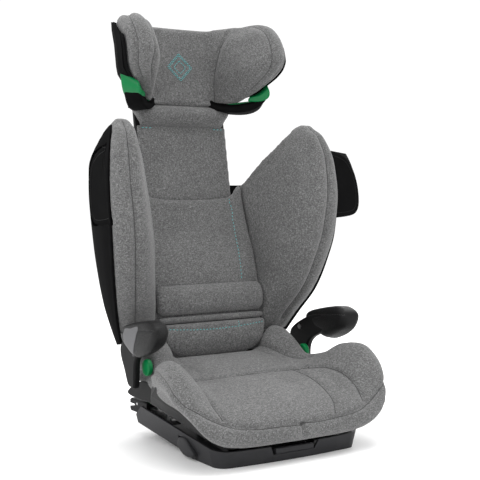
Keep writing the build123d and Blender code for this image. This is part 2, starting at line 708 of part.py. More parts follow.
with BuildPart() as belt_guide_right:
    guide_prism(GUIDE_SIDE, GUIDE_WIDTH)
    back_brick((84, 112), (-40, -12), (544, 560))
    for keep_clear in (headrest_shell, headrest_middle, headrest_wing_right, stem_plate, neck_roll):
        add(keep_clear.part, mode=Mode.SUBTRACT)
save(belt_guide_right, "belt_guide_right")

with BuildPart() as belt_guide_left:
    add(mirrored(belt_guide_right))
save(belt_guide_left, "belt_guide_left")

with BuildPart() as guide_liner_right:
    guide_prism(LINER_SIDE, GUIDE_WIDTH + 4)
    for keep_clear in (belt_guide_right, headrest_shell, headrest_wing_right):
        add(keep_clear.part, mode=Mode.SUBTRACT)
save(guide_liner_right, "guide_liner_right")

with BuildPart() as guide_liner_left:
    add(mirrored(guide_liner_right))
save(guide_liner_left, "guide_liner_left")

with BuildPart() as height_handle:
    back_brick((-41, 41), (-10.8, -4), (642, 694))
    back_brick((-41, 41), (-4, 4), (684, 694))
    back_brick((-28, 28), (-12, 6), (654, 676), Mode.SUBTRACT)
save(height_handle, "height_handle")
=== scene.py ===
"""High-backed booster seat: looks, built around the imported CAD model."""

import json
from math import cos, pi, radians, sin

import bmesh
import bpy
import numpy as np
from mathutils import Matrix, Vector
from mathutils.bvhtree import BVHTree
from mathutils.kdtree import KDTree

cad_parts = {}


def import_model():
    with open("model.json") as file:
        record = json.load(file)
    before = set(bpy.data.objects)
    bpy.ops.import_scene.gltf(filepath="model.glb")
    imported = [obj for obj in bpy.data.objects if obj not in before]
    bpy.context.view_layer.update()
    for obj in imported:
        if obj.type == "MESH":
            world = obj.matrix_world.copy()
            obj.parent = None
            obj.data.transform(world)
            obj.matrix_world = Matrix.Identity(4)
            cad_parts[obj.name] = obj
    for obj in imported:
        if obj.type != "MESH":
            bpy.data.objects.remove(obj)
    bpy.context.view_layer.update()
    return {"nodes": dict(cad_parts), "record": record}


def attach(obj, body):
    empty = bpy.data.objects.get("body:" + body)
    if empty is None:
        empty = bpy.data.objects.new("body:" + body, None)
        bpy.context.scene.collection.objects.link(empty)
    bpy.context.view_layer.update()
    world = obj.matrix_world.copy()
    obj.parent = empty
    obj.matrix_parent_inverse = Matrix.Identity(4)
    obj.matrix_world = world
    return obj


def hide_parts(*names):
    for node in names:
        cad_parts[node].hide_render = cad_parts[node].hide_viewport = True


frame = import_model()
NODES = frame["nodes"]
MM = 0.001
SIDES = ((1, "right"), (-1, "left"))

# the backrest's own frame: x, v to the rear, w up along the leaning back (millimetres)
RECLINE = radians(10)
PIVOT_Y, PIVOT_Z = 130.0, 105.0
BACK_HALF, BACK_FRONT, PLATE_FRONT = 128.0, -33.0, -14.5
# plans of the padded wings: (w, half width, reach to the front)
WING = ((70, 190, -60), (102, 206, -88), (150, 228, -136), (200, 241, -168), (260, 251, -197),
        (343, 256, -215), (400, 252, -217), (455, 238, -205), (486, 222, -172), (500, 214, -160))
HEAD = ((551, 112, -104), (558, 130, -122), (566, 144, -138), (574, 155, -149), (592, 176, -172),
        (606, 184, -186), (622, 187, -193), (650, 187, -189), (680, 184, -172), (692, 179, -158),
        (700, 171, -143), (706, 161, -120), (711, 150, -80), (714, 142, -52))
HEAD_MIDDLE, HEAD_FRONT, HEAD_REAR = 75.0, -40.0, -15.3


def world(x, v, w):
    """Backrest coordinates in millimetres, arrays or single values, to world metres."""
    return np.stack([np.asarray(x, float) + 0 * np.asarray(w, float),
                     PIVOT_Y + np.asarray(v) * cos(RECLINE) + np.asarray(w) * sin(RECLINE),
                     PIVOT_Z + np.asarray(w) * cos(RECLINE) - np.asarray(v) * sin(RECLINE)], -1) * MM


def in_backrest(points):
    """World metres back to the backrest's v and w in millimetres."""
    y, z = points[:, 1] / MM - PIVOT_Y, points[:, 2] / MM - PIVOT_Z
    return y * cos(RECLINE) - z * sin(RECLINE), y * sin(RECLINE) + z * cos(RECLINE)


def curve_through(xs, ys, x):
    """Smooth value at x through the points (xs, ys), without overshoot."""
    xs, ys = np.asarray(xs, float), np.asarray(ys, float)
    step = np.diff(ys) / np.diff(xs)
    slope = np.empty_like(ys)
    slope[0], slope[-1] = step[0], step[-1]
    for i in range(1, len(xs) - 1):
        a, b = step[i - 1], step[i]
        slope[i] = 0 if a * b <= 0 else 2 * a * b / (a + b)
    x = np.clip(np.asarray(x, float), xs[0], xs[-1])
    i = np.clip(np.searchsorted(xs, x) - 1, 0, len(xs) - 2)
    h = xs[i + 1] - xs[i]
    t = (x - xs[i]) / h
    return ((1 + 2 * t) * (1 - t) ** 2 * ys[i] + t * (1 - t) ** 2 * h * slope[i]
            + t * t * (3 - 2 * t) * ys[i + 1] + t * t * (t - 1) * h * slope[i + 1])


def read_curve(table, at):
    """Smooth value at a place in a table of (place, value) pairs."""
    return curve_through(*zip(*table), at)


def spline(points, count, closed=False):
    """Even points on a smooth curve through a few 2-D or 3-D points."""
    points = np.asarray(points, float)
    if closed:
        padded = np.vstack([points[-2:], points, points[:3]])
    else:
        padded = np.vstack([2 * points[0] - points[1], points, 2 * points[-1] - points[-2]])
    fine = []
    first, last = (2, len(points) + 2) if closed else (1, len(points))
    for i in range(first, last):
        p0, p1, p2, p3 = padded[i - 1:i + 3]
        for t in np.linspace(0, 1, 16, endpoint=False):
            fine.append(0.5 * (2 * p1 + (p2 - p0) * t + (2 * p0 - 5 * p1 + 4 * p2 - p3) * t * t
                               + (3 * p1 - p0 - 3 * p2 + p3) * t ** 3))
    fine.append(points[0] if closed else points[-1])
    return resample(np.array(fine), count, closed)


def resample(points, count, closed=False):
    points = np.asarray(points, float)
    run = np.concatenate([[0], np.cumsum(np.linalg.norm(np.diff(points, axis=0), axis=1))])
    at = np.linspace(0, run[-1], count, endpoint=not closed)
    return np.stack([np.interp(at, run, points[:, k]) for k in range(points.shape[1])], -1)


# mesh helpers -------------------------------------------------------------------------------
def new_object(name, verts, faces, smooth=True):
    mesh = bpy.data.meshes.new(name)
    mesh.from_pydata([tuple(v) for v in verts], [], faces)
    mesh.validate()
    obj = bpy.data.objects.new(name, mesh)
    bpy.context.scene.collection.objects.link(obj)
    bm = bmesh.new()
    bm.from_mesh(mesh)
    bmesh.ops.recalc_face_normals(bm, faces=bm.faces)
    bm.to_mesh(mesh)
    bm.free()
    if smooth:
        mesh.polygons.foreach_set("use_smooth", [True] * len(mesh.polygons))
    return obj


def loft(name, rings, closed=True, caps=True):
    """Skin over rings of equally many points; the end rings are capped."""
    rings = np.asarray(rings)
    m, n = rings.shape[:2]
    verts = rings.reshape(-1, 3)
    faces = []
    for i in range(m - 1):
        for j in range(n if closed else n - 1):
            k = (j + 1) % n
            faces.append((i * n + j, i * n + k, (i + 1) * n + k, (i + 1) * n + j))
    if caps and closed:
        faces.append(tuple(range(n)))
        faces.append(tuple(range((m - 1) * n, m * n)))
    return new_object(name, verts, faces)


def apply_modifiers(obj):
    graph = bpy.context.evaluated_depsgraph_get()
    mesh = bpy.data.meshes.new_from_object(obj.evaluated_get(graph))
    materials = list(obj.data.materials)
    obj.modifiers.clear()
    obj.data = mesh
    if not len(mesh.materials):
        for material in materials:
            mesh.materials.append(material)
    mesh.polygons.foreach_set("use_smooth", [True] * len(mesh.polygons))
    mesh.update()


def coords(obj):
    out = np.empty(len(obj.data.vertices) * 3)
    obj.data.vertices.foreach_get("co", out)
    return out.reshape(-1, 3)


def set_coords(obj, points):
    obj.data.vertices.foreach_set("co", np.asarray(points, float).ravel())
    obj.data.update()


def normals(obj):
    out = np.empty(len(obj.data.vertices) * 3)
    obj.data.vertices.foreach_get("normal", out)
    return out.reshape(-1, 3)


def remesh(obj, size):
    """Even quads all over, then a light smoothing."""
    mod = obj.modifiers.new("even", "REMESH")
    mod.mode = "VOXEL"
    mod.voxel_size = size
    apply_modifiers(obj)
    relax = obj.modifiers.new("relax", "SMOOTH")
    relax.factor, relax.iterations = 0.5, 4
    apply_modifiers(obj)


def subdivide(obj):
    finer = obj.modifiers.new("finer", "SUBSURF")
    finer.levels = finer.render_levels = 1
    apply_modifiers(obj)


def near_curve(points, curve):
    """Distance of each point from a dense curve."""
    tree = KDTree(len(curve))
    for i, p in enumerate(curve):
        tree.insert(p, i)
    tree.balance()
    return np.array([tree.find(p)[2] for p in points])


def surface_tree(obj):
    return BVHTree.FromObject(obj, bpy.context.evaluated_depsgraph_get())


def on_surface(obj, path, count, lift=0.0):
    """Dense path laid on a piece's surface; returns points and normals."""
    tree = surface_tree(obj)
    line = resample(path, count)
    for _ in range(3):
        hits = [tree.find_nearest(Vector(p)) for p in line]
        line = np.array([hit[0] for hit in hits])
        for _ in range(6):
            line[1:-1] = 0.5 * line[1:-1] + 0.25 * (line[:-2] + line[2:])
    hits = [tree.find_nearest(Vector(p)) for p in line]
    ups = np.array([hit[1] for hit in hits])
    return np.array([hit[0] for hit in hits]) + ups * lift, ups


def steps(path, step):
    """Number of points for a path, about a step apart."""
    return max(24, int(len_of(path) / step))


def press_seam(obj, path, depth=0.003, width=0.005):
    """Sink a sewn channel into the surface along a path."""
    line, _ = on_surface(obj, path, steps(path, 0.003))
    points = coords(obj)
    gap = near_curve(points, line)
    set_coords(obj, points - normals(obj) * (depth * np.exp(-(gap / width) ** 2))[:, None])


def len_of(path):
    return float(np.linalg.norm(np.diff(np.asarray(path), axis=0), axis=1).sum())


def tube(name, path, radius, sides=8, closed=False):
    """Round tube along a dense path."""
    path = np.asarray(path, float)
    ahead = np.roll(path, -1, 0) - np.roll(path, 1, 0) if closed else np.gradient(path, axis=0)
    ahead /= np.linalg.norm(ahead, axis=1)[:, None] + 1e-12
    side = np.cross(ahead[0], [0, 0, 1.0])
    if np.linalg.norm(side) < 0.1:
        side = np.cross(ahead[0], [1.0, 0, 0])
    rings = []
    for p, t in zip(path, ahead):
        side = side - t * np.dot(side, t)
        side /= np.linalg.norm(side)
        up = np.cross(t, side)
        angles = np.arange(sides) * 2 * pi / sides
        rings.append(p + radius * (np.cos(angles)[:, None] * side + np.sin(angles)[:, None] * up))
    if closed:
        rings.append(rings[0])
    return loft(name, rings, caps=not closed)


def inset(outline, depth):
    """Closed 2-D outline moved inwards by depth."""
    outline = np.asarray(outline, float)
    along = np.roll(outline, -1, 0) - np.roll(outline, 1, 0)
    along /= np.linalg.norm(along, axis=1)[:, None] + 1e-12
    inward = np.stack([-along[:, 1], along[:, 0]], -1)
    x, y = outline.T
    turn = np.sign(np.sum(x * np.roll(y, -1) - np.roll(x, -1) * y))
    return outline + inward * turn * depth


def plate(name, corners, put, low, high, edge, edge_rise=None, crown=0.0, count=72):
    """Solid between two levels of a smooth outline, with rounded edges; crown domes its faces."""
    outline = spline(corners, count, True)
    edge_rise = edge if edge_rise is None else edge_rise
    rings = []

    def face(level, sign):
        inner = inset(outline, edge)
        middle = inner.mean(axis=0)
        for share in (0.03, 0.3, 0.55, 0.76, 0.9):
            rings.append(put(middle + (inner - middle) * share, level + sign * crown * (1 - share ** 2)))

    turns = [k / 6 * pi / 2 for k in range(7)]
    face(low, -1)
    rings += [put(inset(outline, edge * (1 - sin(a))), low + edge_rise * (1 - cos(a))) for a in turns]
    rings += [put(inset(outline, edge * (1 - sin(a))), high - edge_rise * (1 - cos(a))) for a in turns[::-1]]
    flipped = len(rings)
    face(high, 1)
    rings[flipped:] = rings[flipped:][::-1]
    return loft(name, rings)


def beside(side):
    """Maps (y, z) outlines at a distance from the middle plane."""
    def put(points, x):
        return np.stack([np.full(len(points), side * x), points[:, 0], points[:, 1]], -1) * MM
    return put


def join(name, pieces):
    """One object from several meshes."""
    verts, faces = [], []
    for piece in pieces:
        start = len(verts)
        verts += [tuple(v.co) for v in piece.data.vertices]
        faces += [tuple(start + i for i in f.vertices) for f in piece.data.polygons]
        bpy.data.objects.remove(piece)
    return new_object(name, verts, faces)


def stitches(name, obj, path, length=0.0045, gap=0.0028, radius=0.0006, lift=0.0004):
    """Row of sewn stitches lying on a piece's surface."""
    total = len_of(path)
    count = max(2, int(total / (length + gap)))
    line, ups = on_surface(obj, path, count * 8, lift)
    made = []
    for i in range(count):
        a, b = i * 8, i * 8 + int(8 * length / (length + gap))
        piece = line[a:b + 1].copy()
        if len(piece) < 3:
            continue
        piece[0] -= ups[a] * radius * 1.6
        piece[-1] -= ups[b] * radius * 1.6
        made.append(tube(f"{name}_{i}", piece, radius, 6))
    return join(name, made)


# materials ----------------------------------------------------------------------------------
class Shader:
    """Small helper that builds one node material."""

    def __init__(self, name):
        self.material = bpy.data.materials.new(name)
        self.material.use_nodes = True
        self.tree = self.material.node_tree
        self.bsdf = self.tree.nodes["Principled BSDF"]
        self.coords = self.tree.nodes.new("ShaderNodeTexCoord").outputs["Object"]

    def feed(self, socket, value):
        """Link another node's output to a socket, or set its plain value."""
        if isinstance(value, bpy.types.NodeSocket):
            self.tree.links.new(value, socket)
        else:
            socket.default_value = value

    def node(self, kind, inputs=(), **settings):
        made = self.tree.nodes.new(kind)
        for key, value in settings.items():
            setattr(made, key, value)
        for key, value in dict(inputs).items():
            self.feed(made.inputs[key], value)
        return made

    def noise(self, scale, detail=3.0, rough=0.5, stretch=(1, 1, 1)):
        mapped = self.node("ShaderNodeMapping", {"Vector": self.coords, "Scale": stretch})
        return self.node("ShaderNodeTexNoise", {"Vector": mapped.outputs[0], "Scale": scale,
                                                "Detail": detail, "Roughness": rough}).outputs["Fac"]

    def math(self, operation, a, b=0.0, c=0.0):
        return self.node("ShaderNodeMath", {0: a, 1: b, 2: c}, operation=operation).outputs[0]

    def ramp(self, fac, stops):
        made = self.node("ShaderNodeValToRGB", {"Fac": fac})
        elements = made.color_ramp.elements
        while len(elements) < len(stops):
            elements.new(0.5)
        for element, (at, color) in zip(elements, stops):
            element.position = at
            element.color = (*color, 1)
        return made.outputs["Color"]

    def bump(self, height, strength, distance):
        return self.node("ShaderNodeBump", {"Height": height, "Strength": strength,
                                            "Distance": distance}).outputs["Normal"]

    def finish(self, color, roughness, normal=None, **fixed):
        self.feed(self.bsdf.inputs["Base Color"], color)
        self.feed(self.bsdf.inputs["Roughness"], roughness)
        if normal is not None:
            self.feed(self.bsdf.inputs["Normal"], normal)
        for key, value in fixed.items():
            self.feed(self.bsdf.inputs[key.replace("_", " ").title().replace("Ior", "IOR")], value)
        return self.material


def grey(value, tint=0.0):
    return (value, value, value * (1 + tint))


def heather_fabric(name, dark, middle, light):
    """Woven melange: short crossing streaks of three greys over a plain weave."""
    s = Shader(name)
    across = s.noise(720, 3, 0.7, (0.3, 0.3, 1.0))
    along = s.noise(680, 3, 0.7, (1.0, 1.0, 0.26))
    fleck = s.noise(1050, 2, 0.6)
    cloud = s.noise(14, 2, 0.5)
    streak = s.math("MULTIPLY_ADD", across, 0.5, s.math("MULTIPLY", along, 0.5))
    mixed = s.math("MULTIPLY_ADD", fleck, 0.32, s.math("MULTIPLY", streak, 0.68))
    shade = s.math("MULTIPLY_ADD", cloud, 0.05, s.math("SUBTRACT", mixed, 0.025))
    color = s.ramp(shade, [(0.35, grey(dark)), (0.5, grey(middle)), (0.65, grey(light))])
    threads = {"Vector": s.coords, "Scale": 230.0, "Distortion": 1.2, "Detail": 1.0}
    warp, weft = (s.node("ShaderNodeTexWave", threads, bands_direction=way).outputs["Fac"] for way in "XZ")
    weave = s.math("MULTIPLY_ADD", warp, 0.5, s.math("MULTIPLY", weft, 0.5))
    height = s.math("MULTIPLY_ADD", fleck, 0.6, weave)
    normal = s.bump(height, 0.55, 0.0006)
    return s.finish(color, 0.93, normal, sheen_weight=0.18, sheen_roughness=0.55, specular_ior_level=0.25)


def plain_thread(name, color):
    s = Shader(name)
    twist = s.noise(2400, 1, 0.5, (1, 1, 0.4))
    shaded = s.ramp(twist, [(0.35, tuple(c * 0.72 for c in color)), (0.65, color)])
    return s.finish(shaded, 0.75, s.bump(twist, 0.4, 0.0002), sheen_weight=0.2)


def grained_plastic(name, color, roughness, gloss):
    """Moulded plastic with a fine spark-eroded grain and slightly rubbed high spots."""
    s = Shader(name)
    pits = s.noise(1600, 2, 0.6)
    patches = s.noise(35, 4, 0.6)
    bright = tuple(c * 1.175 + 0.001 for c in color)
    tint = s.ramp(patches, [(0.38, color), (0.72, bright)])
    rough = s.math("MULTIPLY_ADD", patches, 0.16, roughness - 0.08)
    return s.finish(tint, rough, s.bump(pits, 0.35, 0.00018), specular_ior_level=gloss)


def gloss_plastic(name, color, roughness, gloss):
    s = Shader(name)
    haze = s.noise(60, 4, 0.6)
    rough = s.math("MULTIPLY_ADD", haze, 0.16, roughness - 0.08)
    tint = s.ramp(haze, [(0.3, color), (0.8, tuple(c * 1.25 for c in color))])
    return s.finish(tint, rough, s.bump(s.noise(420, 2), 0.06, 0.0002), specular_ior_level=gloss,
                    coat_weight=0.04, coat_roughness=0.2)


def leather(name, color):
    """Imitation leather: cellular grain, with painted shade making it darker in the folds between the cells.
    """
    s = Shader(name)
    cells = s.node("ShaderNodeTexVoronoi", {"Vector": s.coords, "Scale": 620.0},
                   feature="DISTANCE_TO_EDGE")
    grain = s.math("MINIMUM", s.math("MULTIPLY", cells.outputs["Distance"], 5.0), 1.0)
    soft = s.noise(240, 3, 0.6)
    height = s.math("MULTIPLY_ADD", soft, 0.5, grain)
    # painted shade: the tint darkens to 0.45 of the colour towards the cells' edges, the low folds of the
    # grain
    tint = s.ramp(grain, [(0.05, tuple(c * 0.45 for c in color)), (0.5, color)])
    rough = s.math("MULTIPLY_ADD", soft, 0.18, 0.36)
    return s.finish(tint, rough, s.bump(height, 0.35, 0.0003), specular_ior_level=0.2)


def brushed_steel(name):
    s = Shader(name)
    lines = s.noise(900, 2, 0.6, (0.1, 1.0, 1.0))
    tint = s.ramp(lines, [(0.3, grey(0.42)), (0.7, grey(0.6, 0.02))])
    rough = s.math("MULTIPLY_ADD", lines, 0.2, 0.25)
    return s.finish(tint, rough, s.bump(lines, 0.15, 0.0001), metallic=1.0)


FABRIC = heather_fabric("grey_melange", 0.024, 0.10, 0.29)
SEAM = plain_thread("seam_thread", grey(0.016))
TEAL = plain_thread("teal_thread", (0.09, 0.50, 0.52))
BLACK = grained_plastic("black_grained_plastic", grey(0.006, 0.05), 0.5, gloss=0.1)
WALL = grained_plastic("matt_black_plastic", grey(0.0045, 0.05), 0.7, gloss=0.015)
DARK = grained_plastic("dark_grey_plastic", grey(0.024, 0.08), 0.48, gloss=0.16)
LIGHT = grained_plastic("light_grey_plastic", grey(0.1, 0.04), 0.5, gloss=0.15)
DECK = gloss_plastic("black_gloss_plastic", grey(0.004), 0.25, 0.25)
GREEN = gloss_plastic("green_plastic", (0.002, 0.14, 0.04), 0.35, 0.15)
HIDE = leather("black_imitation_leather", grey(0.006, 0.05))
STEEL = brushed_steel("zinc_steel")
BY_SLOT = {"grey_fabric": FABRIC, "black_plastic": BLACK, "dark_grey_plastic": DARK,
           "light_grey_plastic": LIGHT, "black_gloss_plastic": DECK, "green_plastic": GREEN,
           "black_leather": HIDE, "steel": STEEL}

for part in frame["record"]["subparts"]:
    node = NODES[part["node"]]
    look = WALL if part["node"] in ("back_shell", "headrest_shell") else BY_SLOT[part["material_slot"]]
    for place in node.material_slots:
        place.material = look


BODY_OF = {node: body for body, nodes in frame["record"]["behaviour"]["bodies"].items() for node in nodes}
SLOT_OF = {part["node"]: part["material_slot"] for part in frame["record"]["subparts"]}


def dress(obj, material, body, slot):
    obj.data.materials.clear()
    obj.data.materials.append(material)
    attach(obj, body)


def stand_for(obj, *nodes, material=None):
    """Give a new piece the body and material of the CAD nodes it replaces, and hide those nodes."""
    dress(obj, material or BY_SLOT[SLOT_OF[nodes[0]]], BODY_OF[nodes[0]], SLOT_OF[nodes[0]])
    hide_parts(*nodes)


# soft goods ---------------------------------------------------------------------------------
PIN_REACH = 0.009


def puff(obj, pins, cap, least, pressure=4.0, frames=20):
    """Inflate a cover with the cloth solver, held near the pinned curves.

    Only the rise along the surface normal is kept, between least, or less at the pins, and cap.
    """
    start = coords(obj)
    hold = np.zeros(len(start))
    for curve in pins:
        hold = np.maximum(hold, np.clip(1.25 - near_curve(start, curve) / PIN_REACH, 0, 1))
    group = obj.vertex_groups.new(name="pin")
    for i, weight in enumerate(hold):
        group.add([i], float(weight), "REPLACE")
    cloth = obj.modifiers.new("puff", "CLOTH")
    cloth.settings.quality = 4
    cloth.settings.mass = 0.35
    cloth.settings.tension_stiffness = 12
    cloth.settings.compression_stiffness = 6
    cloth.settings.bending_stiffness = 0.4
    cloth.settings.use_pressure = True
    cloth.settings.uniform_pressure_force = pressure
    cloth.settings.vertex_group_mass = "pin"
    cloth.settings.effector_weights.gravity = 0
    cloth.collision_settings.use_collision = False
    cloth.point_cache.frame_start, cloth.point_cache.frame_end = 1, frames
    scene = bpy.context.scene
    for number in range(1, frames + 1):
        scene.frame_set(number)
    apply_modifiers(obj)
    moved = coords(obj)
    set_coords(obj, start)
    out = normals(obj)
    rise = np.clip(((moved - start) * out).sum(axis=1), least * (1 - 0.6 * hold), cap)
    set_coords(obj, start + out * rise[:, None])
    scene.frame_set(1)


def soft_cover(obj, seams=(), size=0.005, shrink=0.003, cap=0.006):
    """Turn a rough closed form into a sewn, padded cover."""
    remesh(obj, size)
    set_coords(obj, coords(obj) - normals(obj) * shrink)
    lines = [on_surface(obj, path, steps(path, 0.004))[0] for path in seams]
    puff(obj, lines, cap, shrink)
    subdivide(obj)


def seam_line(name, obj, path, body, radius=0.0007):
    """Sewn seam: a channel pressed into the cover with its thread at the bottom."""
    press_seam(obj, path, 0.0028, 0.0045)
    line, _ = on_surface(obj, path, steps(path, 0.004), -radius * 0.3)
    dress(tube(name, line, radius, 6), SEAM, body, "grey_fabric")


# front skins and shell walls, as shares of a wing's width and depth; rolls add millimetres to the reach
SEAM_SHARE = 0.28
WING_LOBE = ((0.08, 0.2), (0.18, 0.41), (0.4, 0.73), (0.66, 0.94), (0.86, 1.0))
HEAD_LOBE = ((0.05, 0.2), (0.12, 0.4), (0.3, 0.73), (0.58, 0.95), (0.82, 1.01))


def at_height(table, w):
    """Half-width and reach of a wing at height w."""
    return (curve_through([s[0] for s in table], [s[k] for s in table], w) for k in (1, 2))


BACK_WALL = ((0.2, 0.01), (0.46, 0.055), (0.74, 0.177), (0.93, 0.394), (1.0, 0.67), (0.995, 0.88))
HEAD_WALL = ((0.2, 0.03), (0.42, 0.11), (0.65, 0.27), (0.82, 0.44), (0.91, 0.62), (0.945, 0.82))
BACK_ROLL = ((0.3, 1), (0.7, 6), (1.03, 18))
HEAD_ROLL = ((0.3, 8), (0.6, 20), (0.8, 34))


def wall_curve(middle, rear, half, reach, shares, offset, count=70):
    """Inside of the shell from the middle out to its front edge, moved outwards by offset."""
    width, depth = half - middle, reach - rear
    line = spline([(middle, rear)] + [(middle + a * width, rear + b * depth) for a, b in shares], count)
    along = np.gradient(line, axis=0)
    along /= np.linalg.norm(along, axis=1)[:, None]
    return line + offset * np.stack([-along[:, 1], along[:, 0]], -1)


def cup_outline(middle, front, rear, half, reach, lobe, shares, round_edge, slim):
    """Plan of one padded wing: front skin, roll round the front edge, step behind the shell, rear skin.

    slim moves the front skin outwards, most in the middle of the lobe.
    """
    seam = half - SEAM_SHARE * (half - middle)
    width, depth = seam - middle, reach - front
    skin = spline([(middle, front)] + [(middle + a * width, front + b * depth) for a, b in lobe]
                  + [(seam, reach + 4)], 60)
    share = np.linspace(0, 1, 60)
    skin[:, 0] += slim * np.clip(share / 0.45, 0, 1) * (1 - 0.55 * np.clip((share - 0.6) / 0.4, 0, 1))
    start = skin[-1]
    outer = wall_curve(middle, rear, half, reach, shares, 4.0)[-1]
    bends = [(start[0] + a * (half - start[0]), reach + b) for a, b in round_edge]
    roll = spline([start] + bends + [outer], 24)
    back = wall_curve(middle, rear, half, reach, shares, -2.0)[::-1]
    return skin, roll, back


def clip_below(points, limit):
    """Part of a closed outline with v under the limit."""
    out = []
    for a, b in zip(points, np.roll(points, -1, 0)):
        if a[1] <= limit:
            out.append(a)
        if (a[1] <= limit) != (b[1] <= limit):
            t = (limit - a[1]) / (b[1] - a[1])
            out.append(a + (b - a) * t)
    return np.array(out)


def soften(ring, times=2):
    for _ in range(times):
        ring = 0.5 * ring + 0.25 * (np.roll(ring, 1, 0) + np.roll(ring, -1, 0))
    return ring


# (w, v) where the wing's rear is cut off, and (w, x) by which its front skin moves outwards
WING_CUT = ((385, -34), (455, -124), (484, -158), (500, -178))
WING_SLIM = ((70, -26), (110, -23), (150, -18), (200, -12), (250, -8), (300, -1), (343, 5), (380, 10),
             (420, 16), (455, 23), (470, 27), (486, 30))
WING_PEAK, WING_TOP = 462.0, 486.0


def wing_ring(w, side, count=110):
    level = min(w, 472)
    half, reach = at_height(WING, level)
    skin, roll, back = cup_outline(BACK_HALF, BACK_FRONT, PLATE_FRONT, half, reach, WING_LOBE, BACK_WALL,
                                   BACK_ROLL, read_curve(WING_SLIM, level))
    outline = np.vstack([skin, roll[1:], back])
    if level > WING_CUT[0][0]:
        outline = clip_below(outline, read_curve(WING_CUT, level))
    start = int(np.argmin(outline[:, 1]))
    outline = np.roll(outline, -start, 0)
    ring = soften(resample(np.vstack([outline, outline[:1]]), count, closed=True))
    if w > WING_PEAK:
        middle = ring.mean(axis=0) + (3, -6)
        rise = (w - WING_PEAK) / (WING_TOP - WING_PEAK)
        ring = middle + (ring - middle) * max(0.1, 1 - rise ** 2.4) ** 0.5
    return world(side * ring[:, 0], ring[:, 1], w)


def wing_seam(w, side):
    half, reach = at_height(WING, w)
    seam = half - SEAM_SHARE * (half - BACK_HALF)
    return world(side * (seam + 0.45 * read_curve(WING_SLIM, w)), reach + 4, w)


def clamp_inside(obj, lines, inner_point):
    """Keep a cover from bulging through the wall behind it, given as lines of equally many points."""
    wall = loft("wall", lines, closed=False, caps=False)
    mesh = wall.data
    bm = bmesh.new()
    bm.from_mesh(mesh)
    bm.normal_update()
    if sum(f.normal.dot(f.calc_center_median() - Vector(inner_point)) for f in bm.faces) < 0:
        bmesh.ops.reverse_faces(bm, faces=bm.faces)
    bm.to_mesh(mesh)
    bm.free()
    tree = surface_tree(wall)
    points = coords(obj)
    for i, p in enumerate(points):
        hit, normal, _, gap = tree.find_nearest(Vector(p))
        if hit is not None and gap < 0.02:
            out = (Vector(p) - hit).dot(normal)
            if out > 0 and gap < out * 1.3 + 1e-6:
                points[i] = np.array(hit)
    set_coords(obj, points)
    bpy.data.objects.remove(wall)


SHELL_CUT = ((385, -38), (404, -70), (440, -128), (466, -160), (482, -176), (512, -210))


def back_wall(w, offset):
    half, reach = at_height(WING, w)
    return wall_curve(BACK_HALF, PLATE_FRONT, half, reach, BACK_WALL, offset)


def shell_curve(w, offset, count=64):
    line = back_wall(w, offset)
    if w > SHELL_CUT[0][0]:
        line = line[int(np.argmax(line[:, 1] <= read_curve(SHELL_CUT, w))):]
    return resample(line, count)


GUARD_X, GUARD_V = 244.0, -172.0
GUARD_FACE = ((-3, 300), (-3, 424), (4, 430), (30, 427), (57, 416), (71, 399), (79, 378), (83, 350),
              (81, 320), (74, 303), (60, 294), (30, 290), (4, 290))
POCKET_V, POCKET_W = (-180.0, -87.0), (288.0, 432.0)
POCKET_FLOOR = 231.5


def wall_x(v, w, offset=4.8):
    """Distance of the back wing's outer wall from the middle plane."""
    line = back_wall(w, offset)
    return float(np.interp(-v, -line[:, 1], line[:, 0]))


def guard_put(side, folded):
    """Places a guard's (reach, height) outline; level 0 is its back, 1 its front."""
    def put(points, level):
        x, v = [], []
        for p, w in points:
            rise = 1.0 + level * min(5.8, wall_x(GUARD_V + max(p, 0), w) - GUARD_X - 1.2)
            x.append(GUARD_X + (rise if folded else p))
            v.append(GUARD_V + (p if folded else -rise))
        return world(side * np.array(x), np.array(v), points[:, 1])
    return put


def make_guard(side, label, folded):
    cover = plate(f"guard_face_{label}", GUARD_FACE, guard_put(side, folded), 0.0, 1.0, 3.0, 0.22)
    stand_for(cover, f"guard_cover_{label}", material=WALL)
    groove = inset(spline(GUARD_FACE, 160, True), 9.0)
    lip = tube(f"guard_bead_{label}", guard_put(side, folded)(groove, 1.0), 0.0006, 6, closed=True)
    dress(lip, BLACK, BODY_OF[f"guard_cover_{label}"], "dark_grey_plastic")


make_guard(1, "right", False)
make_guard(-1, "left", True)


def pocket_outline(grow):
    low_v, high_v = POCKET_V[0] - grow, POCKET_V[1] + grow
    low_w, high_w = POCKET_W[0] - grow, POCKET_W[1] + grow
    middle = 0.5 * (low_w + high_w)
    return spline([(low_v, low_w + 8), (low_v + 8, low_w), (high_v - 26, low_w + 4),
                   (high_v - 8, low_w + 18), (high_v, middle), (high_v - 8, high_w - 30),
                   (high_v - 26, high_w - 12), (low_v + 60, high_w - 2), (low_v + 8, high_w),
                   (low_v, high_w - 8)], 90, True)


